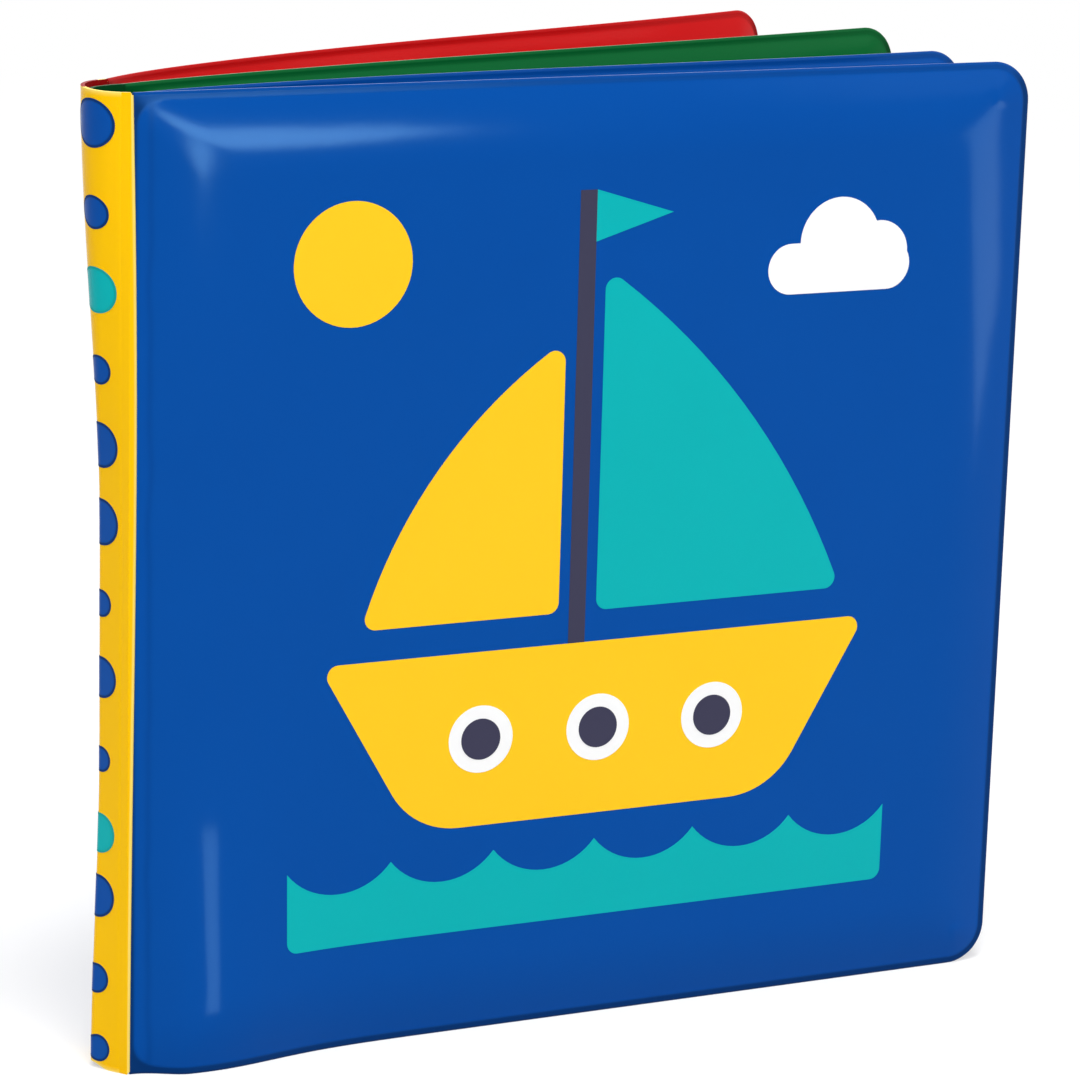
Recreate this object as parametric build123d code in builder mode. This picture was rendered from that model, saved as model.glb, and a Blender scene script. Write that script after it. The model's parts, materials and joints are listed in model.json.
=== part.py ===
from build123d import *

import os
from math import asin, atan2, cos, degrees, radians, sin

# A padded bath book, standing on its lower edges with its leaves a little fanned.
# The origin is at floor level in the middle of the spine, with the front cover along +X, facing -Y.

# Leaves
leaf_width = 150.0
leaf_height = 150.0
inner_leaf_trim = 1.0
corner_radius = 6.5
film_thickness = 0.6
pad_thickness = 3.2
edge_weld_width = 1.5
spine_weld_width = 3.0
shoulder_width = 8.0
spine_shoulder_width = 10.0
pad_corner_radius = 6.0
shoulder_angle_shares = (-1.0, -0.75, -0.5, -0.25, 0.0, 0.25, 0.5, 0.75, 1.0)

# Spine and hinges
page_pitch = 3.6
spine_depth = 4.4
hinge_gap = 0.4
fold_seat_gap = 0.3
page_root_setback = 1.0

# How far each leaf is fanned from the front cover, in degrees
front_page_angle = 6.8
rear_page_angle = 12.0
back_cover_angle = 23.0

# Bow of the back cover, away from the pages: distance from its hinge, and how far it is off the straight line
back_cover_bow = ((18.0, 3.4), (62.0, 4.7))

# Print
ink_thickness = 0.1
print_corner_radius = 1.8
picture_width = 104.0
picture_height = 116.0

# Picture on the front cover: a sailing boat, sizes in the plane of the cover
sea_depth = 14.0
wave_count = 6
wave_hollow_radius = 11.0
hull_clearance = 3.0
hull_deck_width = 94.0
hull_keel_width = 62.0
hull_depth = 28.0
hull_bilge_radius = 13.0
porthole_count = 3
porthole_pitch = 20.0
porthole_radius = 5.4
porthole_glass_radius = 3.3
mast_width = 2.8
mast_place_share = 0.46
sail_gap = 1.8
sail_foot_height = 5.0
sail_belly = 5.0
mainsail_reach = 43.0
mainsail_height = 54.0
jib_reach = 33.0
jib_height = 43.0
pennant_length = 13.0
pennant_height = 8.0
sun_radius = 9.5
cloud_length = 25.0
cloud_base_height = 8.0
cloud_puff_radius = 7.0
cloud_side_puff_radius = 5.0

# Dots on the spine from the top down: height as a share of the spine's, radius as a share of its width
dot_place_shares = (
    (0.968, 0.333),
    (0.881, 0.231),
    (0.804, 0.319),
    (0.724, 0.204),
    (0.648, 0.319),
    (0.570, 0.329),
    (0.487, 0.194),
    (0.411, 0.296),
    (0.326, 0.185),
    (0.249, 0.287),
    (0.183, 0.310),
    (0.096, 0.218),
    (0.022, 0.200),
)
teal_dot_numbers = (2, 9)
dot_row_offset = 2.1

# Where the leaves meet the spine
spine_width = 3 * page_pitch
cover_root_x = spine_depth
page_root_x = spine_depth + page_root_setback
spine_radius = ((spine_width / 2) ** 2 + spine_depth**2) / (2 * spine_depth)
spine_centre_x = spine_radius


def leaf_plane(root_x, root_y, angle):
    """The middle plane of a leaf: x runs from its root to the fore edge, y up, z out of its front."""
    return Plane(
        origin=(root_x, root_y, 0),
        x_dir=(cos(radians(angle)), sin(radians(angle)), 0),
        z_dir=(sin(radians(angle)), -cos(radians(angle)), 0),
    )


def leaf_outline(left, right, bottom, top, radius):
    """A sheet that is square at the spine and rounded at the fore edge."""
    with Locations((left, bottom)):
        sheet = Rectangle(right - left, top - bottom, align=Align.MIN)
    fillet(sheet.vertices().group_by(Axis.X)[-1], radius)


front_plane = leaf_plane(cover_root_x, -spine_width / 2, 0)
front_page_plane = leaf_plane(page_root_x, -page_pitch / 2, front_page_angle)
rear_page_plane = leaf_plane(page_root_x, page_pitch / 2, rear_page_angle)


def welded_leaf(plane, width):
    """One leaf: flat film edges round a pillow that rises from the weld to a flat middle."""
    with BuildPart() as leaf:
        with BuildSketch(plane.offset(-film_thickness / 2)):
            leaf_outline(0, width, 0, leaf_height, corner_radius)
        extrude(amount=film_thickness)
        with BuildSketch(Plane.XY):
            with Locations(plane.origin):
                Circle(film_thickness / 2)
        extrude(amount=leaf_height)
        for share in shoulder_angle_shares:
            lean = radians(90 * share)
            inset_share = 1 - cos(lean)
            with BuildSketch(plane.offset(sin(lean) * pad_thickness / 2)):
                leaf_outline(
                    spine_weld_width + inset_share * spine_shoulder_width,
                    width - edge_weld_width - inset_share * shoulder_width,
                    edge_weld_width + inset_share * shoulder_width,
                    leaf_height - edge_weld_width - inset_share * shoulder_width,
                    pad_corner_radius,
                )
        loft(ruled=True)
    return leaf.part


def leaf_flat(plane, width, corners):
    """The part of a leaf that stands over a four-cornered patch of the floor."""
    with BuildPart() as flat:
        add(welded_leaf(plane, width))
        with BuildSketch(Plane.XY):
            with BuildLine():
                Polyline(*corners, close=True)
            make_face()
        extrude(amount=leaf_height, mode=Mode.INTERSECT)
    return flat.part


def bowed_leaf(root_x, root_y, angle, width, bow):
    """A leaf with upright bends between flats, its middle line passing through the points of the bow."""
    straight_plane = leaf_plane(root_x, root_y, angle)
    line = [(0.0, 0.0), *bow, (width, 0.0)]
    bends = [straight_plane.from_local_coords((along, 0, -off)) for along, off in line]
    lengths = [(end - start).length for start, end in zip(bends, bends[1:])]
    ways = [(end - start).normalized() for start, end in zip(bends, bends[1:])]

    # Neighbouring flats are cut halfway between their directions, and the two ends are left whole
    cut_ways = [ways[0], *[(before + after).normalized() for before, after in zip(ways, ways[1:])], ways[-1]]
    cut_places = [bends[0] - ways[0] * pad_thickness, *bends[1:-1], bends[-1] + ways[-1] * pad_thickness]
    cuts = []
    for place, way in zip(cut_places, cut_ways):
        across = Vector(-way.Y, way.X) * 2 * pad_thickness
        cuts.append((place - across, place + across))

    with BuildPart() as leaf:
        for number, way in enumerate(ways):
            root = bends[number] - way * sum(lengths[:number])
            flat_plane = leaf_plane(root.X, root.Y, degrees(atan2(way.Y, way.X)))
            near, far = cuts[number], cuts[number + 1]
            add(leaf_flat(flat_plane, sum(lengths), (near[0], far[0], far[1], near[1])))
    return leaf.part


with BuildPart() as front_cover:
    add(welded_leaf(front_plane, leaf_width))

with BuildPart() as back_cover:
    add(bowed_leaf(cover_root_x, spine_width / 2, back_cover_angle, leaf_width, back_cover_bow))

# Spine: one bowed strip of film whose rounded edges stop short of the two hinge lines
hinge_standoff = film_thickness + hinge_gap
spine_half_angle = degrees(asin(spine_width / 2 / spine_radius) - hinge_standoff / spine_radius)

with BuildPart() as spine:
    with BuildSketch(Plane.XY):
        with BuildLine(mode=Mode.PRIVATE) as spine_line:
            CenterArc((spine_centre_x, 0), spine_radius, 180 - spine_half_angle, 2 * spine_half_angle)
        SlotArc(spine_line.line.edge(), film_thickness)
    extrude(amount=leaf_height)

# Inner pages: two leaves in one piece, with the fold between them seated in the spine
fold_radius = page_pitch / 2
fold_centre_x = film_thickness + fold_seat_gap + fold_radius

with BuildPart() as inner_pages:
    for page_plane in (front_page_plane, rear_page_plane):
        add(welded_leaf(page_plane, leaf_width - inner_leaf_trim))
    with BuildSketch(Plane.XY):
        with BuildLine():
            Line((page_root_x, -fold_radius), (fold_centre_x, -fold_radius))
            CenterArc((fold_centre_x, 0), fold_radius, 90, 180)
            Line((fold_centre_x, fold_radius), (page_root_x, fold_radius))
        trace(line_width=film_thickness)
    extrude(amount=leaf_height)

# Dots: thin fields of ink that follow the bow of the spine, in a row nearer the front cover
dot_base_radius = spine_radius + film_thickness / 2
dot_row_turn = degrees(dot_row_offset / dot_base_radius)


def printed_dots(numbers):
    """The dots of one colour, each round when the spine is laid flat."""
    with BuildPart() as dots:
        with BuildSketch(Plane.YZ):
            for number in numbers:
                height_share, radius_share = dot_place_shares[number]
                dot_radius = radius_share * spine_width
                with Locations((0, height_share * leaf_height)):
                    Ellipse(dot_base_radius * sin(dot_radius / dot_base_radius), dot_radius)
        extrude(amount=spine_depth, both=True)
        with BuildSketch(Plane.XY):
            with Locations((spine_centre_x, 0)):
                Circle(dot_base_radius + ink_thickness)
                Circle(dot_base_radius, mode=Mode.SUBTRACT)
        extrude(amount=leaf_height, mode=Mode.INTERSECT)
    return dots.part.rotate(Axis((spine_centre_x, 0, 0), (0, 0, 1)), dot_row_turn)


blue_dot_numbers = [n for n in range(len(dot_place_shares)) if n not in teal_dot_numbers]

with BuildPart() as spine_dots_blue:
    add(printed_dots(blue_dot_numbers))

with BuildPart() as spine_dots_teal:
    add(printed_dots(teal_dot_numbers))

# Picture: flat fields of ink on the flat middle of the front cover
flat_left = spine_weld_width + spine_shoulder_width
flat_right = leaf_width - edge_weld_width - shoulder_width
picture_plane = front_plane.offset(pad_thickness / 2)
glass_plane = picture_plane.offset(2 * ink_thickness)
porthole_plane = picture_plane.offset(ink_thickness)
picture_left = (flat_left + flat_right - picture_width) / 2
picture_right = picture_left + picture_width
picture_bottom = (leaf_height - picture_height) / 2
picture_top = picture_bottom + picture_height
picture_middle = picture_left + picture_width / 2
keel_y = picture_bottom + sea_depth + hull_clearance
deck_y = keel_y + hull_depth
foot_y = deck_y + sail_foot_height
mast_x = picture_left + mast_place_share * picture_width
mast_top_y = picture_top - pennant_height / 2


def sail(side, reach, height):
    """A sail on one side of the mast, with a straight luff and foot and a leech that bellies out."""
    luff_x = mast_x + side * (mast_width / 2 + sail_gap)
    clew = (luff_x + side * reach, foot_y)
    head = (luff_x, foot_y + height)
    with BuildSketch(picture_plane) as cloth:
        with BuildLine():
            Polyline(head, (luff_x, foot_y), clew)
            SagittaArc(clew, head, -side * sail_belly)
        make_face()
        fillet(cloth.vertices(), print_corner_radius)
    return cloth.sketch


with BuildPart() as front_print_yellow:
    with BuildSketch(picture_plane) as hull:
        with BuildLine():
            Polyline(
                (picture_middle - hull_deck_width / 2, deck_y),
                (picture_middle - hull_keel_width / 2, keel_y),
                (picture_middle + hull_keel_width / 2, keel_y),
                (picture_middle + hull_deck_width / 2, deck_y),
                close=True,
            )
        make_face()
        fillet(hull.vertices().group_by(Axis.Y)[0], hull_bilge_radius)
        fillet(hull.vertices().group_by(Axis.Y)[-1], print_corner_radius)
        with Locations((picture_left + sun_radius, picture_top - sun_radius)):
            Circle(sun_radius)
    extrude(amount=ink_thickness)
    extrude(sail(-1, jib_reach, jib_height), amount=ink_thickness)

with BuildPart() as front_print_teal:
    with BuildSketch(picture_plane) as sea:
        with Locations((picture_middle, picture_bottom + sea_depth / 2)):
            Rectangle(picture_width, sea_depth)
        with Locations((picture_middle, picture_bottom + sea_depth + wave_hollow_radius / 2)):
            with GridLocations(picture_width / wave_count, 0, wave_count, 1):
                Circle(wave_hollow_radius, mode=Mode.SUBTRACT)
        fillet(sea.vertices().group_by(Axis.Y)[0], print_corner_radius)
    extrude(amount=ink_thickness)
    with BuildSketch(picture_plane) as pennant:
        with BuildLine():
            Polyline(
                (mast_x + mast_width / 2, mast_top_y + pennant_height / 2),
                (mast_x + mast_width / 2, mast_top_y - pennant_height / 2),
                (mast_x + mast_width / 2 + pennant_length, mast_top_y),
                close=True,
            )
        make_face()
    extrude(amount=ink_thickness)
    extrude(sail(1, mainsail_reach, mainsail_height), amount=ink_thickness)

with BuildPart() as front_print_white:
    with BuildSketch(porthole_plane):
        with Locations((picture_middle, deck_y - hull_depth / 2)):
            with GridLocations(porthole_pitch, 0, porthole_count, 1):
                Circle(porthole_radius)
    extrude(amount=ink_thickness)
    with BuildSketch(picture_plane):
        with Locations((picture_right - cloud_length / 2, picture_top - 2 * cloud_puff_radius)):
            SlotOverall(cloud_length, cloud_base_height)
            with Locations((0, cloud_base_height / 2)):
                Circle(cloud_puff_radius)
            with Locations((cloud_puff_radius, cloud_base_height / 4)):
                Circle(cloud_side_puff_radius)
    extrude(amount=ink_thickness)

with BuildPart() as front_print_navy:
    with BuildSketch(glass_plane):
        with Locations((picture_middle, deck_y - hull_depth / 2)):
            with GridLocations(porthole_pitch, 0, porthole_count, 1):
                Circle(porthole_glass_radius)
    extrude(amount=ink_thickness)
    with BuildSketch(picture_plane) as mast:
        with Locations((mast_x, (deck_y + mast_top_y + pennant_height / 2) / 2)):
            Rectangle(mast_width, mast_top_y + pennant_height / 2 - deck_y)
    extrude(amount=ink_thickness)

os.makedirs("parts", exist_ok=True)
for name, piece in (
    ("front_cover", front_cover),
    ("back_cover", back_cover),
    ("spine", spine),
    ("inner_pages", inner_pages),
    ("spine_dots_blue", spine_dots_blue),
    ("spine_dots_teal", spine_dots_teal),
    ("front_print_yellow", front_print_yellow),
    ("front_print_teal", front_print_teal),
    ("front_print_white", front_print_white),
    ("front_print_navy", front_print_navy),
):
    piece.part.label = name
    export_step(piece.part, f"parts/{name}.step")
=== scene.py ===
import json
import math

import bmesh
import bpy
from mathutils import Matrix, Vector, noise
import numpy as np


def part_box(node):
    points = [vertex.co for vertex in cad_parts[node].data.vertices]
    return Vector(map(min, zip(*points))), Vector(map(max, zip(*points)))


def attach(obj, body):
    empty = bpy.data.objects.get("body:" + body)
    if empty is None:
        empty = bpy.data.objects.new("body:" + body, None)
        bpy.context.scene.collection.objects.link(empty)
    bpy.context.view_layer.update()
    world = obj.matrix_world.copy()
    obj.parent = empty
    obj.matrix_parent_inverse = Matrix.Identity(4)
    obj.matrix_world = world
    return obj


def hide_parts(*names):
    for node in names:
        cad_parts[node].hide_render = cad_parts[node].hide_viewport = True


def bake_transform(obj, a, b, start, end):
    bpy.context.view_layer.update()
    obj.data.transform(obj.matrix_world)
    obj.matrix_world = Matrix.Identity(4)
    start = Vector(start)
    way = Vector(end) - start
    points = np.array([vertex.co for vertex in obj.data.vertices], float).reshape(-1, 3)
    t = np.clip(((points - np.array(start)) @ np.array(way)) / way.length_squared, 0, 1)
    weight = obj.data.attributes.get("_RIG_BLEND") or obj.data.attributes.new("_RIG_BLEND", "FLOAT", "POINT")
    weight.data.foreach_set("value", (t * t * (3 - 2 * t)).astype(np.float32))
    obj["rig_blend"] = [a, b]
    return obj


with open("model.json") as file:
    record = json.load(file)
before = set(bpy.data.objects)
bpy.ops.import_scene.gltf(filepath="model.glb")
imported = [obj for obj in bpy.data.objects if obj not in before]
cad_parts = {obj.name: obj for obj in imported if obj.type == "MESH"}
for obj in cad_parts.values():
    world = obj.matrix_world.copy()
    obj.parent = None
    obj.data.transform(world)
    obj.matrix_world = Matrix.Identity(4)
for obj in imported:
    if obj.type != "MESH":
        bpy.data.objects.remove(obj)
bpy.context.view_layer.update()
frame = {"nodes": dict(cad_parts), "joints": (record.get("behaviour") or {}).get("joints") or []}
nodes = frame["nodes"]
joints = {joint["name"]: joint for joint in frame["joints"]}
mm = 0.001  # sizes below are in millimetres, Blender's are in metres
print("frame loaded:", len(nodes), "nodes")


# helpers for materials

def linearColour(hexColour):
    # sRGB to linear
    channels = [int(hexColour[i:i + 2], 16) / 255 for i in (1, 3, 5)]
    return [c / 12.92 if c <= 0.04045 else ((c + 0.055) / 1.055) ** 2.4 for c in channels] + [1.0]


def addNode(tree, kind, settings=None, links=None):
    # settings are properties or input values, links are input name -> output socket
    node = tree.nodes.new(kind)
    for key, value in (settings or {}).items():
        if isinstance(key, str) and hasattr(node, key):
            setattr(node, key, value)
        else:
            node.inputs[key].default_value = value
    for key, socket in (links or {}).items():
        tree.links.new(socket, node.inputs[key])
    return node


filmLook = {
    "roughness": 0.12,
    "roughnessSpread": 0.025,
    "ior": 1.46,
    "specular": 0.16,
    "weldRoughness": 0.6,  # the fused rim is pressed matt
    "peelSize": 1.1,       # orange peel of the calendered film
    "peelHeight": 0.003,
    "dentSize": 17.0,      # soft dents over the foam
    "dentHeight": 0.03,
    "weldShade": 0.6,      # how much darker the fused film and the painted shade look
}


def filmMaterial(name, hexColour, shadeHex, glossHex, edgeHex=None):
    # calendered vinyl film: soft gloss with a faint orange peel, darker and matt where the plies are fused;
    # the attribute it reads is 1 at that fused rim and 0 on the open film; it also carries painted shade,
    # which makes the film darker and matt along the rims, beside the spine, in the fold and on the inner side
    look = filmLook
    material = bpy.data.materials.new(name)
    material.use_nodes = True
    tree = material.node_tree
    tree.nodes.clear()
    place = addNode(tree, "ShaderNodeTexCoord").outputs["Object"]
    peel = addNode(tree, "ShaderNodeTexNoise", {"Scale": 1 / (look["peelSize"] * mm), "Detail": 1.0},
                   {"Vector": place})
    dent = addNode(tree, "ShaderNodeTexNoise", {"Scale": 1 / (look["dentSize"] * mm), "Detail": 2.0},
                   {"Vector": place})
    weld = addNode(tree, "ShaderNodeAttribute", {"attribute_name": "weld"})
    cloud = addNode(tree, "ShaderNodeMix", {"data_type": "RGBA"}, {"Factor": dent.outputs["Fac"]})
    cloud.inputs["A"].default_value = linearColour(hexColour)
    cloud.inputs["B"].default_value = linearColour(shadeHex)
    shade = addNode(tree, "ShaderNodeMix", {"data_type": "RGBA"},
                    {"Factor": weld.outputs["Fac"], "A": cloud.outputs["Result"]})
    dark = [c * (1 - look["weldShade"]) for c in linearColour(hexColour)[:3]] + [1.0]
    shade.inputs["B"].default_value = linearColour(edgeHex) if edgeHex else dark
    gloss = addNode(tree, "ShaderNodeMapRange", {
        "To Min": look["roughness"] - look["roughnessSpread"],
        "To Max": look["roughness"] + look["roughnessSpread"],
    }, {"Value": dent.outputs["Fac"]})
    lowBump = addNode(tree, "ShaderNodeBump", {"Distance": look["dentHeight"] * mm, "Strength": 1.0},
                      {"Height": dent.outputs["Fac"]})
    bump = addNode(tree, "ShaderNodeBump", {"Distance": look["peelHeight"] * mm, "Strength": 1.0},
                   {"Height": peel.outputs["Fac"], "Normal": lowBump.outputs["Normal"]})
    dull = addNode(tree, "ShaderNodeMapRange", {"To Max": look["weldRoughness"]},
                   {"Value": weld.outputs["Fac"], "To Min": gloss.outputs["Result"]})
    shader = addNode(tree, "ShaderNodeBsdfPrincipled", {
        "IOR": look["ior"],
        "Specular IOR Level": look["specular"],
        "Specular Tint": linearColour(glossHex),
    }, {
        "Base Color": shade.outputs["Result"],
        "Roughness": dull.outputs["Result"],
        "Normal": bump.outputs["Normal"],
    })
    addNode(tree, "ShaderNodeOutputMaterial", None, {"Surface": shader.outputs["BSDF"]})
    return material


# the film's colour, its shade in the dents, the tint of its gloss and, for some, a colour at the cut edge
blueFilm = filmMaterial("VinylFilmCalenderedBlue", "#004aa0", "#00489d", "#95daff")
greenFilm = filmMaterial("VinylFilmCalenderedGreen", "#005f2b", "#005c29", "#80ffb0")
redFilm = filmMaterial("VinylFilmCalenderedRed", "#c80f12", "#c20e11", "#ff8078")
yellowFilm = filmMaterial("VinylFilmCalenderedYellow", "#ffc600", "#fdc300", "#fff0b0", "#ffe070")
# gravure inks on the film under the same gloss: their last colour is that of the ink's edge
blueInk = filmMaterial("GravureInkBlueUnderGloss", "#064ca4", "#054a9f", "#95daff", "#06306a")
tealInk = filmMaterial("GravureInkTealUnderGloss", "#00b1b4", "#00aeb1", "#c0ffff", "#0e9f9c")
yellowInk = filmMaterial("GravureInkYellowUnderGloss", "#ffcb22", "#fdc81f", "#fff0b0", "#ffcb22")
whiteInk = filmMaterial("GravureInkWhiteUnderGloss", "#fbfbfb", "#f7f7f7", "#ffffff", "#fbfbfb")
navyInk = filmMaterial("GravureInkNavyUnderGloss", "#3b3a52", "#38374f", "#ffffff", "#3b3a52")
print("materials made")


# shapes of the leaves: all lengths along the leaf (s), up (z) and out of its middle plane (h), in millimetres

hingeFront = Vector(joints["front_cover_hinge"]["pos_m"]) / mm
hingeBack = Vector(joints["back_cover_hinge"]["pos_m"]) / mm
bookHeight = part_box("front_cover")[1].z / mm
spineWidth = hingeBack.y - hingeFront.y
leafForm = {
    "coverWidth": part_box("front_cover")[1].x / mm - hingeFront.x,
    "pageTrim": 1.0,
    "pageSetback": 1.0,
    "cornerRadius": 6.5,
    "edgeWeld": 0.9,
    "spineWeld": 0.6,
    "shoulder": 11.5,
    "spineShoulder": 14.3,
    "cornerBlend": 4.0,
    "crown": 0.3,           # the outer side of a cover goes on rising slowly behind the shoulder
    "crownReach": 22.0,
    "crownSpineShare": 0.7,
    "darkReach": 0.45,      # the fused edge looks darker, partly its own colour and partly painted shade where it falls away, and this far onto the shoulder
    "topShade": 0.35,       # the painted shade is less along the top, which catches the light,
    "topBlendFore": 6.0,    # with a soft change at its corners
    "topBlendSpine": 3.0,
    "padEase": 0.03,        # soft start of the shoulder
    "creasePlace": 2.9,     # faint line of painted shade for the pressed groove beside the spine
    "creaseWidth": 0.45,
    "creaseShade": 0.25,
    "creaseWaver": 0.5,
    "creaseWaverSize": 9.0,
    "filmHalf": 0.3,
    "padHalf": 1.6,
    "rimRound": 0.35,
    "rimThin": 0.35,        # share of the film's thickness that is left at the cut edge
    "gridLines": 132,
    "edgeCluster": 0.78,    # 0 is an even grid, near 1 crowds the lines at the edges
    "waveSize": 34.0,
    "waveHeight": 0.1,
    "puckerSize": 6.5,      # short wrinkles that run in from the weld
    "puckerReach": 5.0,
    "puckerHeight": 0.06,
    "tabLow": 0.35,         # a cover's film starts this far from its hinge line, on top of the hinge film,
    "tabBelly": 0.7,        # and up to this much further where the yellow film shows more
    "tabRise": 1.6,
}
pitch = spineWidth / 3  # between the roots of the four leaves
leaves = {
    # root (x, y), angle, whether its film is a tab on the hinge film, noise seed, trim of the width;
    # bow towards the back, lift of the top edge at the root and at the fore edge;
    # which side is crowned, and how far the lower corner by the spine swells
    "frontCover": {"root": (hingeFront.x, hingeFront.y), "angle": 0.0, "tab": True, "seed": 3.0,
                   "trim": 0.0, "bow": 0.0, "lift": (0.0, 0.0), "crownSide": 1, "foot": 3.2},
    "frontPage": {"root": (hingeFront.x + leafForm["pageSetback"], -pitch / 2), "angle": 6.8, "tab": False,
                  "seed": 11.0, "trim": -0.3, "bow": 4.0, "lift": (-0.7, -1.0)},
    "rearPage": {"root": (hingeFront.x + leafForm["pageSetback"], pitch / 2), "angle": 12.0, "tab": False,
                 "seed": 23.0, "trim": leafForm["pageTrim"], "bow": 2.2, "lift": (0.2, 0.9)},
    "backCover": {"root": (hingeBack.x, hingeBack.y), "angle": 23.0, "tab": True, "seed": 41.0,
                  "trim": 0.0, "bow": 5.2, "lift": (0.5, 0.3), "crownSide": -1},
}
# the fanned leaves bow backwards soon after the spine and come straight again towards the fore edge
bowForm = {"rise": 14.0, "from": 40.0, "over": 100.0}
# the front cover's lower corner by the spine swells forwards
footForm = {"start": 9.0, "at": 12.3, "width": 15.0, "height": 46.0, "blend": 0.3}


def smoothStep(t):
    t = min(1.0, max(0.0, t))
    return t * t * (3 - 2 * t)


def softMin(a, b, width):
    blendShare = max(width - abs(a - b), 0.0) / width
    return min(a, b) - blendShare * blendShare * width / 4


def cluster(t):
    return t - leafForm["edgeCluster"] * math.sin(2 * math.pi * t) / (2 * math.pi)


def tabStart(z):
    share = min(1.0, max(0.0, z / bookHeight)) ** leafForm["tabRise"]
    return leafForm["tabLow"] + leafForm["tabBelly"] * math.sin(math.pi * share)


def leafWidth(leaf):
    return leafForm["coverWidth"] - leaf["trim"]


def edgeDistance(leaf, s, z):
    # how far inside the outline, which is rounded at the fore edge
    width, radius = leafWidth(leaf), leafForm["cornerRadius"]
    toSide = min(z, bookHeight - z)
    toFore = width - s
    if toSide < radius and toFore < radius:
        return radius - math.hypot(radius - toSide, radius - toFore)
    return softMin(toSide, toFore, leafForm["cornerBlend"])


def insideWeld(leaf, s, z):
    spineSide = (s - leafForm["spineWeld"]) * leafForm["shoulder"] / leafForm["spineShoulder"]
    return softMin(edgeDistance(leaf, s, z) - leafForm["edgeWeld"], spineSide, leafForm["cornerBlend"])


def halfThickness(leaf, s, z):
    edge = edgeDistance(leaf, s, z)
    pad = insideWeld(leaf, s, z) / leafForm["shoulder"]
    pad = min(1.0, (pad + math.hypot(pad, leafForm["padEase"])) / 2)
    rise = 1 - (1 - pad) ** 2
    rim = min(1.0, max(edge, 0.0) / leafForm["rimRound"])
    thin = leafForm["rimThin"]
    film = leafForm["filmHalf"] * (thin + (1 - thin) * math.sqrt(1 - (1 - rim) ** 2))
    return film + (leafForm["padHalf"] - leafForm["filmHalf"]) * rise, rise, edge


# rows of the noise from which each edge takes its wrinkles, and how far apart a leaf's two sides are in it
noiseRows = {"top": 4.0, "foot": 9.0, "fore": 14.0, "sides": 7.0}


def surfaceWave(leaf, s, z, side):
    seed = leaf["seed"] + noiseRows["sides"] * side
    size, reach = leafForm["puckerSize"], leafForm["puckerReach"]
    wave = noise.noise(Vector((s / leafForm["waveSize"], z / leafForm["waveSize"], seed)))
    toEnd, toFore = min(z, bookHeight - z), leafWidth(leaf) - s
    alongEnd = noise.noise(Vector((s / size, noiseRows["top" if z > toEnd else "foot"], seed)))
    alongFore = noise.noise(Vector((noiseRows["fore"], z / size, seed)))
    pucker = alongEnd * math.exp(-toEnd / reach) + alongFore * math.exp(-toFore / reach)
    return leafForm["waveHeight"] * wave + leafForm["puckerHeight"] * pucker


def leafBow(leaf, s, z):
    straight = smoothStep((s - bowForm["from"]) / bowForm["over"])
    back = leaf["bow"] * (1 - math.exp(-s / bowForm["rise"])) * (1 - straight)
    across = math.exp(-((s - footForm["at"]) / footForm["width"]) ** 2) * smoothStep(s / footForm["start"])
    share = -softMin(z / footForm["height"] - 1, 0.0, footForm["blend"])
    return leaf.get("foot", 0.0) * across * share - back


def leafTop(leaf, s):
    low, high = leaf["lift"]
    return bookHeight + low + (high - low) * s / leafWidth(leaf)


def leafPoint(leaf, s, z, h):
    angle = math.radians(leaf["angle"])
    out = h + leafBow(leaf, s, z)
    x = leaf["root"][0] + s * math.cos(angle) + out * math.sin(angle)
    y = leaf["root"][1] + s * math.sin(angle) - out * math.cos(angle)
    return Vector((x, y, z * leafTop(leaf, s) / bookHeight))


def sheetHeight(leaf, s, z, side):
    half, rise, edge = halfThickness(leaf, s, z)
    if side == leaf.get("crownSide"):
        inside = min(edge, leafForm["crownSpineShare"] * s)
        half += leafForm["crown"] * rise * (1 - math.exp(-inside / leafForm["crownReach"]))
    return side * (half + rise * surfaceWave(leaf, s, z, side))


def rimAndPaintedShade(leaf, s, z):
    # dark at the fused rim, partly its own colour and partly painted shade of the rim falling away and of the
    # groove by the spine, less along the top where the light falls; and a faint wavering line of painted shade
    # where the cover is pressed beside the spine
    rim = 1 - smoothStep(insideWeld(leaf, s, z) / leafForm["darkReach"])
    toTop = bookHeight - z
    foreCorner = smoothStep((leafWidth(leaf) - s - toTop) / leafForm["topBlendFore"] + 0.5)
    spineCorner = smoothStep((s - toTop) / leafForm["topBlendSpine"] + 0.5)
    rim *= 1 - (1 - leafForm["topShade"]) * min(foreCorner, spineCorner)
    waver = leafForm["creaseWaver"] * noise.noise(Vector((0, z / leafForm["creaseWaverSize"], leaf["seed"])))
    crease = math.exp(-((s - leafForm["creasePlace"] - waver) / leafForm["creaseWidth"]) ** 2)
    return max(rim, leafForm["creaseShade"] * crease)


def cornerMap(a, b):
    # a unit square's corner turned into a quarter disc
    return a * math.sqrt(1 - b * b / 2), b * math.sqrt(1 - a * a / 2)


def leafGridPlace(leaf, u, v):
    width, radius = leafWidth(leaf), leafForm["cornerRadius"]
    z = bookHeight * cluster(v)
    start = tabStart(z) if leaf["tab"] else 0.0
    s = start + (width - start) * cluster(u)
    a = (s - width + radius) / radius
    b = max(radius - z, z - bookHeight + radius) / radius
    if a > 0 and b > 0:
        a, b = cornerMap(min(a, 1.0), min(b, 1.0))
        s = width - radius + a * radius
        z = radius - b * radius if z < bookHeight / 2 else bookHeight - radius + b * radius
    return s, z


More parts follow.
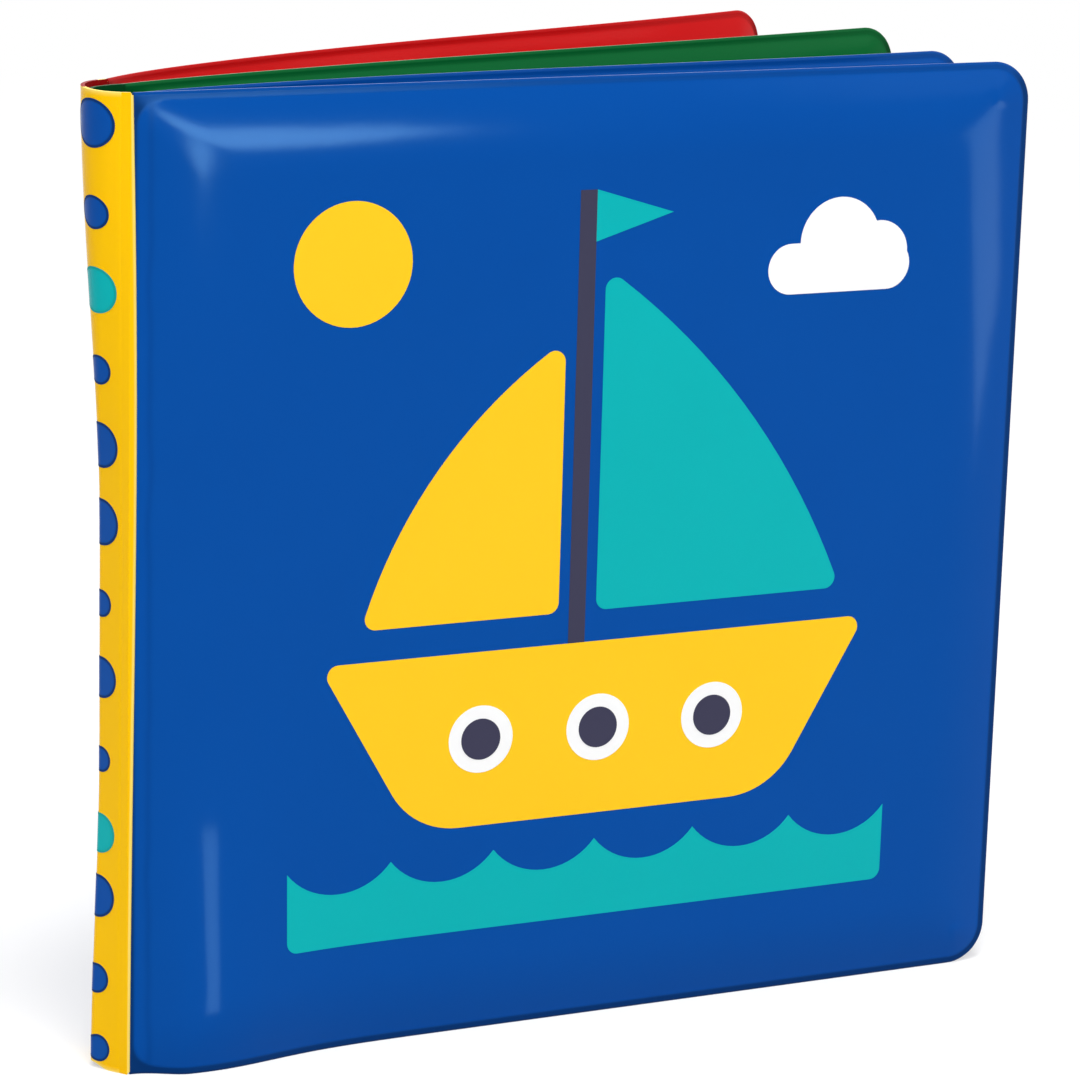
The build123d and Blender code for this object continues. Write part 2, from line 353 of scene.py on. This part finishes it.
def gridTwice(bm, xLines, yLines):
    # two grids in the same place, as their vertices and faces
    first = bmesh.ops.create_grid(bm, x_segments=xLines, y_segments=yLines, size=1.0)["verts"]
    firstFaces = list({face for vert in first for face in vert.link_faces})
    edges = list({edge for vert in first for edge in vert.link_edges})
    copy = bmesh.ops.duplicate(bm, geom=first + edges + firstFaces)["geom"]
    second = [item for item in copy if isinstance(item, bmesh.types.BMVert)]
    secondFaces = [item for item in copy if isinstance(item, bmesh.types.BMFace)]
    return first, firstFaces, second, secondFaces


def bridgeRims(bm, verts):
    edges = [edge for edge in {e for vert in verts for e in vert.link_edges} if edge.is_boundary]
    return bmesh.ops.bridge_loops(bm, edges=edges)["faces"]


def addLeaf(bm, leaf, frontSlot, backSlot):
    weldLayer = bm.verts.layers.float.get("weld") or bm.verts.layers.float.new("weld")
    front, frontFaces, backVerts, backFaces = gridTwice(bm, leafForm["gridLines"], leafForm["gridLines"])
    for side, verts in ((1, front), (-1, backVerts)):
        for vert in verts:
            s, z = leafGridPlace(leaf, (vert.co.x + 1) / 2, (vert.co.y + 1) / 2)
            height = sheetHeight(leaf, s, z, side)
            vert[weldLayer] = rimAndPaintedShade(leaf, s, z)
            vert.co = leafPoint(leaf, s, z, height) * mm
    bmesh.ops.reverse_faces(bm, faces=backFaces)
    rimFaces = bridgeRims(bm, front + backVerts)
    for face in frontFaces + rimFaces:
        face.material_index = frontSlot
    for face in backFaces:
        face.material_index = backSlot


creaseAngle = math.radians(50)  # edges that are folded further than this stay sharp


def finishPiece(bm, name, materials, body=None, replaced=()):
    bmesh.ops.recalc_face_normals(bm, faces=bm.faces)
    for face in bm.faces:
        face.smooth = True
    for edge in bm.edges:
        edge.smooth = edge.calc_face_angle(0.0) < creaseAngle
    mesh = bpy.data.meshes.new(name)
    bm.to_mesh(mesh)
    bm.free()
    for material in materials:
        mesh.materials.append(material)
    piece = bpy.data.objects.new(name, mesh)
    bpy.context.scene.collection.objects.link(piece)
    if body:
        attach(piece, body)
    if replaced:
        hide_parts(*replaced)
    return piece


bm = bmesh.new()
addLeaf(bm, leaves["frontCover"], 0, 0)
frontCover = finishPiece(bm, "front_cover_pad", [blueFilm],
                         "front_cover", ["front_cover"])

bm = bmesh.new()
addLeaf(bm, leaves["backCover"], 0, 1)
backCover = finishPiece(bm, "back_cover_pad", [redFilm, blueFilm],
                        "back_cover", ["back_cover"])
print("covers made")


# spine: a strip of film that is deep and round at the top, and drawn in to a crease along its middle below

spineForm = {
    "depthTop": 5.15,
    "depthWaist": 2.35,
    "waistTop": 84.0,
    "depthFoot": 3.6,
    "footHeight": 50.0,
    "bendTop": 5.0,       # radius of the bend along the middle
    "bendWaist": 0.8,
    "filmHalf": 0.3,
    "edgeHalf": 0.15,     # thinner where it runs under the hinge film
    "edgeTaper": 0.9,
    "edgeStandoff": 1.0,
    "notchRise": 0.9,     # the lower edge rises at the crease
    "notchReach": 3.2,
    "notchHeight": 14.0,
    "arcLines": 60,
    "heightLines": 90,
    "edgeBand": 0.6,      # paler cut edge
}
liningPaintedShade = 0.9  # the inner side of the films is dull, and painted dark as shade inside the spine and hinges, as dark as the fused rim


def topShare(z):
    return smoothStep((z - spineForm["waistTop"]) / (bookHeight - spineForm["waistTop"]))


def spineSection(z):
    # a bend round (centreX, 0), with a straight side from each end of it to the hinge line
    foot = 1 - smoothStep(z / spineForm["footHeight"])
    top = topShare(z) * (spineForm["depthTop"] - spineForm["depthWaist"])
    depth = spineForm["depthWaist"] + top + foot * (spineForm["depthFoot"] - spineForm["depthWaist"])
    radius = spineForm["bendWaist"] + topShare(z) * (spineForm["bendTop"] - spineForm["bendWaist"])
    reach = math.hypot(depth - radius, spineWidth / 2)
    bend = math.atan2(spineWidth / 2, radius - depth) - math.acos(radius / reach)
    return hingeFront.x - depth + radius, radius, bend, math.sqrt(reach * reach - radius * radius)


def spineHalfLength(z):
    centreX, radius, bend, side = spineSection(z)
    return radius * bend + side


def notchRise(z, toCrease):
    across = smoothStep(1 - toCrease / spineForm["notchReach"])
    return spineForm["notchRise"] * across * (1 - smoothStep(z / spineForm["notchHeight"]))


def spinePoint(z, along, h):
    # along is measured on the film from the middle of the spine, towards the back cover
    centreX, radius, bend, side = spineSection(z)
    turn = min(abs(along) / radius, bend)
    rest = abs(along) - radius * turn
    x = centreX - (radius + h) * math.cos(turn) + rest * math.sin(turn)
    y = (radius + h) * math.sin(turn) + rest * math.cos(turn)
    towardsBack = smoothStep(0.5 + 0.5 * along / (radius * bend + side))
    lift = leaves["backCover"]["lift"][0] * towardsBack * z / bookHeight
    return Vector((x, math.copysign(y, along), z + lift))


def slab(bm, xLines, yLines):
    # a closed slab of unit size: x and y run -1 to 1, z is -1 below and 1 above
    top, _, below, _ = gridTwice(bm, xLines, yLines)
    for vert in top:
        vert.co.z = 1
    for vert in below:
        vert.co.z = -1
    bridgeRims(bm, top + below)
    return top + below


bm = bmesh.new()
weldLayer = bm.verts.layers.float.new("weld")
verts = slab(bm, spineForm["arcLines"], spineForm["heightLines"])
for face in bm.faces:
    middle = face.calc_center_median()
    if middle.z < -0.5:
        face.material_index = 1 if middle.x < 0 else 2
    elif middle.z < 0.5 and middle.x > 0:
        face.material_index = 2
for vert in verts:
    z = bookHeight * cluster((vert.co.y + 1) / 2)
    reach = spineHalfLength(z) - spineForm["edgeStandoff"]
    cutEdge = 1 - smoothStep(min(z, bookHeight - z) / spineForm["edgeBand"])
    # outside paler at the cut ends; inside painted dark as shade
    vert[weldLayer] = cutEdge if vert.co.z > 0 else liningPaintedShade
    along = vert.co.x * reach
    full = smoothStep((reach - abs(along)) / spineForm["edgeTaper"])
    half = spineForm["edgeHalf"] + full * (spineForm["filmHalf"] - spineForm["edgeHalf"])
    vert.co = spinePoint(z + notchRise(z, abs(along)), along, vert.co.z * half) * mm
finishPiece(bm, "spine_film", [yellowFilm, blueFilm, redFilm], "spine", ["spine"])
print("spine made")


# hinge films: the yellow sheet where it bends from spine to cover, with a pale line beside the cover's film

hingeForm = {
    "filmHalf": 0.2,
    "intoSpine": 1.6,
    "intoCover": 2.2,
    "bendReach": 0.9,     # the bend runs this far to each side of the hinge line
    "lineWidth": 0.42,    # of the pale line
    "endInset": 0.4,      # under the cover's film it stops short of both ends
    "lines": 38,
    "heightLines": 90,
}


def hingePoint(leaf, side, z, along, h):
    # side -1 is the front hinge and 1 the back one; along is measured from the hinge line onto the cover
    onSpine = spinePoint(z, side * (spineHalfLength(z) + min(along, 0.0)), h)
    onCover = leafPoint(leaf, max(along, 0.0), z, -side * h)
    share = smoothStep(along / hingeForm["bendReach"] / 2 + 0.5)
    return onSpine.lerp(onCover, share)


def hingeFilm(name, leaf, side, lining, body):
    bm = bmesh.new()
    length = hingeForm["intoSpine"] + hingeForm["intoCover"]
    weldLayer = bm.verts.layers.float.new("weld")
    verts = slab(bm, hingeForm["lines"], hingeForm["heightLines"])
    for face in bm.faces:
        face.material_index = int(face.calc_center_median().z < -0.5)
    for vert in verts:
        along = (vert.co.x + 1) / 2 * length - hingeForm["intoSpine"]
        share = cluster((vert.co.y + 1) / 2)
        # -1 where the pale line starts to fade in, over half of its width, and 0 where the cover's film starts
        beyond = (along - tabStart(share * bookHeight)) / hingeForm["lineWidth"]
        z = bookHeight * share + hingeForm["endInset"] * smoothStep(beyond + 1) * (1 - 2 * share)
        # outside the pale line; inside painted dark as shade
        vert[weldLayer] = smoothStep(2 + 2 * beyond) if vert.co.z > 0 else liningPaintedShade
        vert.co = hingePoint(leaf, side, z, along, vert.co.z * hingeForm["filmHalf"]) * mm
    piece = finishPiece(bm, name, [yellowFilm, lining])
    bend = hingeForm["bendReach"] * mm
    start = Vector((leaf["root"][0] * mm - bend, leaf["root"][1] * mm, 0))
    end = Vector((leaf["root"][0] * mm + bend, leaf["root"][1] * mm, 0))
    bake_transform(piece, "spine", body, start=start, end=end)


hingeFilm("front_hinge_film", leaves["frontCover"], -1, blueFilm, "front_cover")
hingeFilm("back_hinge_film", leaves["backCover"], 1, redFilm, "back_cover")
print("hinge films made")


# inner pages: two leaves and the fold between them, seated in the spine

foldForm = {
    "seatGap": 0.35,      # room between the fold and the spine
    "filmHalf": 0.3,
    "tuck": 0.6,          # how far the fold runs into the leaves
    "arcLines": 26,
    "heightLines": 60,
}


def foldPoint(z, share, h):
    # from the root of the front page round the fold to the root of the rear page
    low, high = leaves["frontPage"]["lift"][0], leaves["rearPage"]["lift"][0]
    z += notchRise(z, 0.0) * math.sin(math.pi * share)
    z *= 1 + (low + (high - low) * smoothStep(share)) / bookHeight
    radius = pitch / 2
    rootX = leaves["frontPage"]["root"][0] + foldForm["tuck"]
    bendX, bendRadius, bend, side = spineSection(z)
    room = radius + spineForm["filmHalf"] + foldForm["seatGap"] + foldForm["filmHalf"] - bendRadius
    centreX = min(bendX + (room / math.cos(bend) if room > 0 else room), rootX)
    straight = rootX - centreX
    length = 2 * straight + math.pi * radius
    along = share * length
    if along < straight:
        return Vector((rootX - along, -radius - h, z))
    if along > length - straight:
        return Vector((rootX - (length - along), radius + h, z))
    turn = (along - straight) / radius
    return Vector((centreX - (radius + h) * math.sin(turn), -(radius + h) * math.cos(turn), z))


bm = bmesh.new()
addLeaf(bm, leaves["frontPage"], 0, 1)
addLeaf(bm, leaves["rearPage"], 1, 2)
weldLayer = bm.verts.layers.float["weld"]
known = set(bm.faces)
verts = slab(bm, foldForm["arcLines"], foldForm["heightLines"])
for face in bm.faces:
    if face not in known:
        middle = face.calc_center_median()
        outside = 0 if middle.x < 0 else 2
        face.material_index = outside if middle.z > 0.5 else 1
for vert in verts:
    z = bookHeight * cluster((vert.co.y + 1) / 2)
    vert[weldLayer] = 1.0  # painted shade in the fold between the leaves, dark and matt like the rims
    vert.co = foldPoint(z, (vert.co.x + 1) / 2, vert.co.z * foldForm["filmHalf"]) * mm
innerPages = finishPiece(bm, "inner_pages_pad", [blueFilm, greenFilm, redFilm],
                         "spine", ["inner_pages"])
print("inner pages made")


# dots on the spine, with the heights and radii of the CAD dots

dotForm = {
    "segments": 72,
    "rings": 14,
    "rimWidth": 0.3,      # darker line of the ink's edge
    "thickness": 0.06,
    "sink": 0.08,
    "shift": -0.3,        # the row lies beside the crease, and nearer the front cover at both ends
    "shiftTop": -1.95,
    "shiftFoot": -1.0,
    "footReach": 22.0,
    "near": 0.01,         # share of the radius by which a point may miss its ring
}
mergeDistance = 0.002 * mm  # joins the loose triangles of a CAD node


def dotShift(z):
    foot = 1 - smoothStep(z / dotForm["footReach"])
    return dotForm["shift"] + dotForm["shiftTop"] * topShare(z) + dotForm["shiftFoot"] * foot


def cadIslands(node):
    # the separate solids of a CAD node, as lists of their points in millimetres
    bm = bmesh.new()
    bm.from_mesh(nodes[node].data)
    bmesh.ops.remove_doubles(bm, verts=bm.verts, dist=mergeDistance)
    left, islands = set(bm.verts), []
    while left:
        stack, island = [left.pop()], []
        while stack:
            vert = stack.pop()
            island.append(vert.co / mm)
            for edge in vert.link_edges:
                other = edge.other_vert(vert)
                if other in left:
                    left.remove(other)
                    stack.append(other)
        islands.append(island)
    bm.free()
    return islands


def spineDots(name, node, material):
    bm = bmesh.new()
    weldLayer = bm.verts.layers.float.new("weld")
    for island in cadIslands(node):
        low, high = min(p.z for p in island), max(p.z for p in island)
        radius, middle = (high - low) / 2, (high + low) / 2
        disc = bmesh.new()
        bmesh.ops.create_circle(disc, cap_ends=True, cap_tris=True, segments=dotForm["segments"], radius=1.0)
        spokes = [edge for edge in disc.edges if not edge.is_boundary]
        bmesh.ops.subdivide_edges(disc, edges=spokes, cuts=dotForm["rings"])
        inner = dotForm["rings"] / (dotForm["rings"] + 1)
        for vert in disc.verts:
            share = vert.co.length
            rim = share > inner - dotForm["near"]
            outermost = share > inner + dotForm["near"]
            reach = radius if outermost else share / inner * (radius - dotForm["rimWidth"])
            if share > dotForm["near"]:
                vert.co *= reach / share
            vert.co.z = 1.0 if rim else 0.0
        mesh = bpy.data.meshes.new("disc")
        disc.to_mesh(mesh)
        disc.free()
        known = set(bm.verts)
        bm.from_mesh(mesh)
        bpy.data.meshes.remove(mesh)
        below = [vert for vert in bm.verts if vert not in known]
        for vert in below:
            vert[weldLayer] = vert.co.z
        faces = list({face for vert in below for face in vert.link_faces})
        copy = bmesh.ops.extrude_face_region(bm, geom=faces)
        above = [item for item in copy["geom"] if isinstance(item, bmesh.types.BMVert)]
        for verts, h in ((below, -dotForm["sink"]), (above, dotForm["thickness"])):
            for vert in verts:
                z = middle + vert.co.y
                vert.co = spinePoint(z, vert.co.x + dotShift(middle), spineForm["filmHalf"] + h) * mm
    finishPiece(bm, name, [material], "spine", [node])


spineDots("spine_print_blue", "spine_dots_blue", blueInk)
spineDots("spine_print_teal", "spine_dots_teal", tealInk)
print("dots made")


# picture on the front cover: the CAD fields of ink, laid onto the soft surface of the cover

pictureForm = {
    "cellSize": 3.0,      # the fields are cut into cells of this size, so that they bend with the cover
    "layer": 0.045,       # height of one layer of ink here
    "cadLayer": 0.1,      # and in the CAD nodes
    "sink": 0.05,
    "flatAngle": 1.0,     # degrees
    "cutSnap": 0.0001,    # points this near a cut count as on it
}


def laidPrint(name, node, material):
    leaf = leaves["frontCover"]
    flat = leaf["root"][1] - leafForm["padHalf"]
    bm = bmesh.new()
    bm.from_mesh(nodes[node].data)
    bmesh.ops.remove_doubles(bm, verts=bm.verts, dist=mergeDistance)
    flatAngle = math.radians(pictureForm["flatAngle"])
    bmesh.ops.dissolve_limit(bm, angle_limit=flatAngle, verts=bm.verts, edges=bm.edges)
    low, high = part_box(node)
    snap = pictureForm["cutSnap"] * mm
    for axis, normal in ((0, (1, 0, 0)), (2, (0, 0, 1))):
        place = low[axis] + pictureForm["cellSize"] * mm
        while place < high[axis]:
            point = [0, 0, 0]
            point[axis] = place
            geom = bm.verts[:] + bm.edges[:] + bm.faces[:]
            bmesh.ops.bisect_plane(bm, geom=geom, dist=snap, plane_co=point, plane_no=normal)
            place += pictureForm["cellSize"] * mm
    bm.verts.layers.float.new("weld")  # stays 0, since nothing is fused in the print
    for vert in bm.verts:
        point = vert.co / mm
        s = point.x - leaf["root"][0]
        layers = (flat - point.y) / pictureForm["cadLayer"]
        height = sheetHeight(leaf, s, point.z, 1)
        lift = layers * pictureForm["layer"] if layers > 0.5 else -pictureForm["sink"]
        vert.co = leafPoint(leaf, s, point.z, height + lift) * mm
    bmesh.ops.triangulate(bm, faces=[face for face in bm.faces if len(face.verts) > 4])
    finishPiece(bm, name, [material], "front_cover", [node])


laidPrint("cover_print_yellow", "front_print_yellow", yellowInk)
laidPrint("cover_print_teal", "front_print_teal", tealInk)
laidPrint("cover_print_white", "front_print_white", whiteInk)
laidPrint("cover_print_navy", "front_print_navy", navyInk)
print("picture laid on the cover")


# camera, fitted to the photo

view = {
    "yaw": -25.132,
    "pitch": 14.014,
    "roll": 1.604,
    "distance": 0.65513,
    "target": (0.07378, 0.0001, 0.07694),
    "focalPixels": 4211.0,
    "framePixels": 1080.0,
    "sensorWidth": 36.0,
    "clipEnd": 20.0,
}


def makeCamera():
    yaw, pitch, roll = (math.radians(view[key]) for key in ("yaw", "pitch", "roll"))
    back = Vector((math.sin(yaw) * math.cos(pitch), -math.cos(yaw) * math.cos(pitch), math.sin(pitch)))
    right = (-back).cross(Vector((0, 0, 1))).normalized()
    up = back.cross(right)
    rolledRight = right * math.cos(roll) + up * math.sin(roll)
    rolledUp = up * math.cos(roll) - right * math.sin(roll)
    turn = Matrix((rolledRight, rolledUp, back)).transposed().to_4x4()
    data = bpy.data.cameras.new("camera")
    data.sensor_width = view["sensorWidth"]
    data.lens = view["focalPixels"] / view["framePixels"] * view["sensorWidth"]
    data.clip_end = view["clipEnd"]
    camera = bpy.data.objects.new("camera", data)
    camera.matrix_world = Matrix.Translation(Vector(view["target"]) + back * view["distance"]) @ turn
    bpy.context.scene.collection.objects.link(camera)
    bpy.context.scene.camera = camera


makeCamera()


# studio: pale floor that fades into a white backdrop, soft lights

studio = {
    "floorRadius": 3.0,
    "floorSegments": 96,
    "floorColour": "#bcbcbc",
    "floorGlow": 0.47,
    "fadeStart": 0.35,
    "fadeEnd": 1.1,
    "worldLight": 0.5,
}
lamps = {
    # place, target and size in metres, power in watts, turn about the lamp's own axis in degrees
    "key": {"place": (-0.8, -1.2, 1.15), "target": (0.07, 0.0, 0.07), "size": (0.9, 0.7), "power": 11.5},
    "fill": {"place": (1.15, -0.9, 0.9), "target": (0.07, 0.0, 0.07), "size": (1.2, 1.2), "power": 6.0},
    "top": {"place": (0.0, -0.43, 1.55), "target": (0.07, 0.0, 0.07), "size": (0.35, 0.35), "power": 13.0},
    "back": {"place": (0.4, 1.5, 1.0), "target": (0.07, 0.0, 0.07), "size": (1.2, 1.2), "power": 8.0},
    # small lamps that only show as streaks of gloss on the shoulders of the front cover
    "foreGlint": {"place": (0.38, -0.264, 0.081), "target": (0.1465, -0.007, 0.127), "size": (0.062, 0.12),
                  "power": 0.12, "shape": "RECTANGLE", "glossOnly": True, "turn": 38.0},
    "topGlint": {"place": (0.134, -0.34, 0.167), "target": (0.02, -0.007, 0.143), "size": (0.116, 0.044),
                 "power": 0.25, "shape": "ELLIPSE", "glossOnly": True, "turn": -3.0},
    "spikeGlint": {"place": (0.103, -0.345, 0.116), "target": (0.0155, -0.007, 0.139), "size": (0.026, 0.068),
                   "power": 0.08, "shape": "ELLIPSE", "glossOnly": True, "turn": -18.0},
    "spineGlint": {"place": (0.025, -0.0386, 0.016), "target": (0.0167, -0.0086, 0.0224),
                   "size": (0.0055, 0.03), "power": 0.0034, "shape": "RECTANGLE", "glossOnly": True},
}


def makeLamp(name, lamp):
    data = bpy.data.lights.new(name, "AREA")
    data.shape = lamp.get("shape", "RECTANGLE")
    data.size, data.size_y = lamp["size"]
    data.energy = lamp["power"]
    light = bpy.data.objects.new(name, data)
    place = Vector(lamp["place"])
    aim = (Vector(lamp["target"]) - place).to_track_quat("-Z", "Y").to_matrix().to_4x4()
    turn = Matrix.Rotation(math.radians(lamp.get("turn", 0.0)), 4, "Z")
    light.matrix_world = Matrix.Translation(place) @ aim @ turn
    light.visible_camera = False
    light.visible_diffuse = not lamp.get("glossOnly", False)
    bpy.context.scene.collection.objects.link(light)


def seenRays(tree):
    # 1 for the rays that show the backdrop: the camera's, and those off gloss or through glass
    path = addNode(tree, "ShaderNodeLightPath")
    direct = addNode(tree, "ShaderNodeMath", {"operation": "MAXIMUM"},
                     {0: path.outputs["Is Camera Ray"], 1: path.outputs["Is Glossy Ray"]})
    return addNode(tree, "ShaderNodeMath", {"operation": "MAXIMUM"},
                   {0: direct.outputs["Value"], 1: path.outputs["Is Transmission Ray"]})


def makeFloor():
    bm = bmesh.new()
    bmesh.ops.create_circle(bm, cap_ends=True, segments=studio["floorSegments"], radius=studio["floorRadius"])
    mesh = bpy.data.meshes.new("floor")
    bm.to_mesh(mesh)
    bm.free()
    floor = bpy.data.objects.new("floor", mesh)
    bpy.context.scene.collection.objects.link(floor)
    # matt white board: lit by the lamps near the book, plain white to the camera further out
    material = bpy.data.materials.new("FloorMattWhiteBoard")
    material.use_nodes = True
    tree = material.node_tree
    tree.nodes.clear()
    place = addNode(tree, "ShaderNodeTexCoord").outputs["Object"]
    reach = addNode(tree, "ShaderNodeVectorMath", {"operation": "LENGTH"}, {0: place})
    fade = addNode(tree, "ShaderNodeMapRange", {
        "From Min": studio["fadeStart"],
        "From Max": studio["fadeEnd"],
    }, {"Value": reach.outputs["Value"]})
    seen = seenRays(tree)
    board = addNode(tree, "ShaderNodeBsdfDiffuse", {"Color": linearColour(studio["floorColour"])})
    strength = addNode(tree, "ShaderNodeMath", {"operation": "MULTIPLY", 1: studio["floorGlow"]},
                       {0: seen.outputs["Value"]})
    glow = addNode(tree, "ShaderNodeEmission", None, {"Strength": strength.outputs["Value"]})
    lit = addNode(tree, "ShaderNodeAddShader", None, {0: board.outputs["BSDF"], 1: glow.outputs["Emission"]})
    white = addNode(tree, "ShaderNodeEmission", {"Strength": 1.0})
    faded = addNode(tree, "ShaderNodeMath", {"operation": "MULTIPLY"},
                    {0: fade.outputs["Result"], 1: seen.outputs["Value"]})
    mixed = addNode(tree, "ShaderNodeMixShader", None,
                    {0: faded.outputs["Value"], 1: lit.outputs["Shader"], 2: white.outputs["Emission"]})
    addNode(tree, "ShaderNodeOutputMaterial", None, {"Surface": mixed.outputs["Shader"]})
    mesh.materials.append(material)


def makeWorld():
    world = bpy.data.worlds.new("studio")
    world.use_nodes = True
    tree = world.node_tree
    tree.nodes.clear()
    ambient = addNode(tree, "ShaderNodeBackground", {"Strength": studio["worldLight"]})
    ambient.inputs["Color"].default_value = (1, 1, 1, 1)
    backdrop = addNode(tree, "ShaderNodeBackground", {"Strength": 1.0})
    backdrop.inputs["Color"].default_value = (1, 1, 1, 1)
    mixed = addNode(tree, "ShaderNodeMixShader", None, {
        0: seenRays(tree).outputs["Value"],
        1: ambient.outputs["Background"],
        2: backdrop.outputs["Background"],
    })
    addNode(tree, "ShaderNodeOutputWorld", None, {"Surface": mixed.outputs["Shader"]})
    bpy.context.scene.world = world


makeFloor()
makeWorld()
for lampName, lamp in lamps.items():
    makeLamp(lampName, lamp)
bpy.context.scene.view_settings.view_transform = "Standard"
print("studio made")
